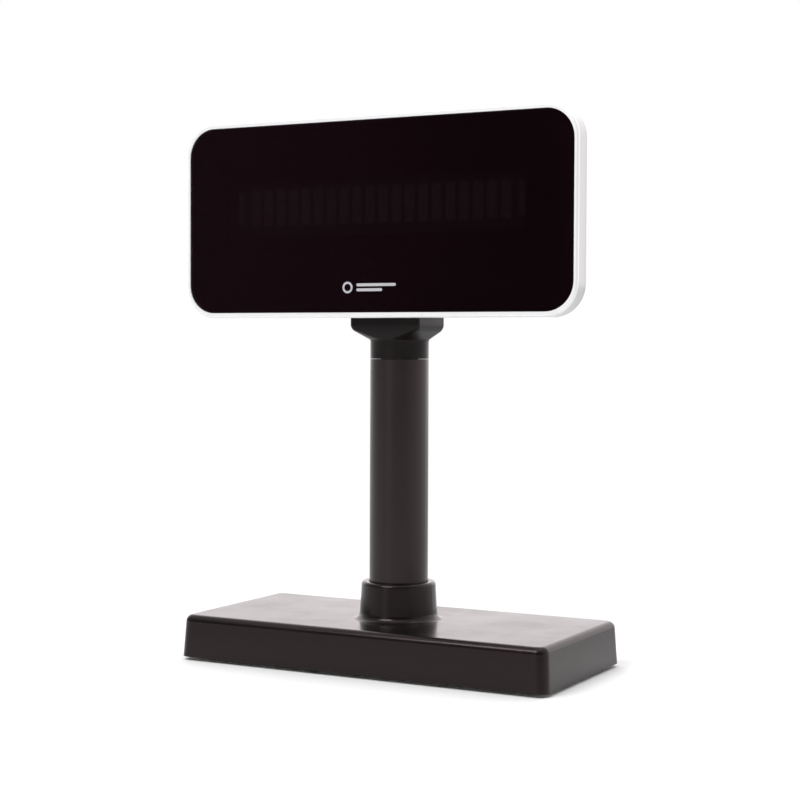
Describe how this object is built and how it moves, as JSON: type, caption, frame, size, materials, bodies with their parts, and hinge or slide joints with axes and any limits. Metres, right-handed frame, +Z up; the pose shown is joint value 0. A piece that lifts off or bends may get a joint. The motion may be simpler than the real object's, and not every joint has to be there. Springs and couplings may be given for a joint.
{
  "type": "customer pole display",
  "caption": "Customer display for a till: a wide smoked window in a bright frame, on a round pole that turns and tilts, standing on a weighted rectangular base.",
  "frame": {"origin": "middle of the base, on the surface that its feet rest on", "axes": "+X to the right along the width as the customer sees it, +Y from the customer to the back, +Z up along the pole"},
  "size_m": [0.2588, 0.1132, 0.3262],
  "materials": {
    "black_abs": "fine textured satin",
    "pole_enamel": "satin powder coat",
    "silver_paint": "silver gloss paint",
    "smoked_window": "smoked acrylic, gloss",
    "zinc_plate": "zinc plated",
    "cast_iron": "rough cast",
    "screw_steel": "plated",
    "nylon": "natural nylon",
    "cast_alloy": "die cast",
    "foot_rubber": "matt",
    "circuit_board": "solder mask",
    "socket_plastic": "moulded",
    "contact_metal": "gold flashed",
    "connector_plastic": "moulded",
    "cable_sheath": "soft sheath",
    "display_glass": "clear",
    "anode_glass": "dark print on glass",
    "grid_metal": "etched",
    "capacitor_sleeve": "shrink sleeve",
    "copper_winding": "enamelled wire on ferrite"
  },
  "bodies": {
    "base": {"base_cover": "black_abs", "base_plate": "zinc_plate", "ballast_left": "cast_iron", "ballast_right": "cast_iron", "ballast_screws": "screw_steel", "base_plate_screws": "screw_steel", "foot_front_left": "foot_rubber", "foot_rear_left": "foot_rubber", "foot_front_right": "foot_rubber", "foot_rear_right": "foot_rubber", "interface_board": "circuit_board", "board_standoffs": "screw_steel", "interface_board_screws": "screw_steel", "signal_socket": "socket_plastic", "signal_contacts": "contact_metal", "power_jack": "socket_plastic", "power_jack_pin": "contact_metal", "harness_header": "connector_plastic", "harness_plug_lower": "connector_plastic", "harness_lower": "cable_sheath", "pole_tube": "pole_enamel", "pole_foot_insert": "cast_alloy", "pole_screws": "screw_steel", "swivel_housing": "cast_alloy", "pole_top_screw": "screw_steel"},
    "neck": {"neck_saddle": "black_abs", "neck_cap": "black_abs", "swivel_spigot": "cast_alloy", "spigot_top_nut": "screw_steel", "thrust_washer": "nylon", "swivel_washer": "screw_steel", "swivel_disc_spring": "screw_steel", "swivel_lock_nut": "screw_steel", "swivel_stop_pin": "screw_steel", "tilt_bolts": "screw_steel", "tilt_nuts": "screw_steel", "tilt_spring_washers": "screw_steel", "tilt_friction_washers": "nylon", "harness_upper": "cable_sheath"},
    "head": {"hinge_carrier": "cast_alloy", "carrier_screws": "screw_steel", "tilt_stop_pins": "screw_steel", "front_frame": "silver_paint", "window": "smoked_window", "rear_cover": "black_abs", "rear_cover_screws": "screw_steel", "display_envelope": "display_glass", "display_anode_plate": "anode_glass", "display_grids": "grid_metal", "display_filaments": "grid_metal", "display_filament_supports": "grid_metal", "display_pins": "contact_metal", "display_board": "circuit_board", "display_board_screws": "screw_steel", "driver_chips": "socket_plastic", "filter_capacitors": "capacitor_sleeve", "converter_coil": "copper_winding", "harness_socket": "connector_plastic", "harness_plug_upper": "connector_plastic"}
  },
  "joints": [
    {"name": "neck_swivel", "type": "hinge", "parent": "base", "child": "neck", "pos_m": [0, 0, 0.1838], "axis": [0, 0, 1], "range_deg": [-135, 135]},
    {"name": "head_tilt", "type": "hinge", "parent": "neck", "child": "head", "pos_m": [0, -0.004, 0.234], "axis": [-1, 0, 0], "range_deg": [0, 45], "deforming": ["harness_upper"]}
  ]
}
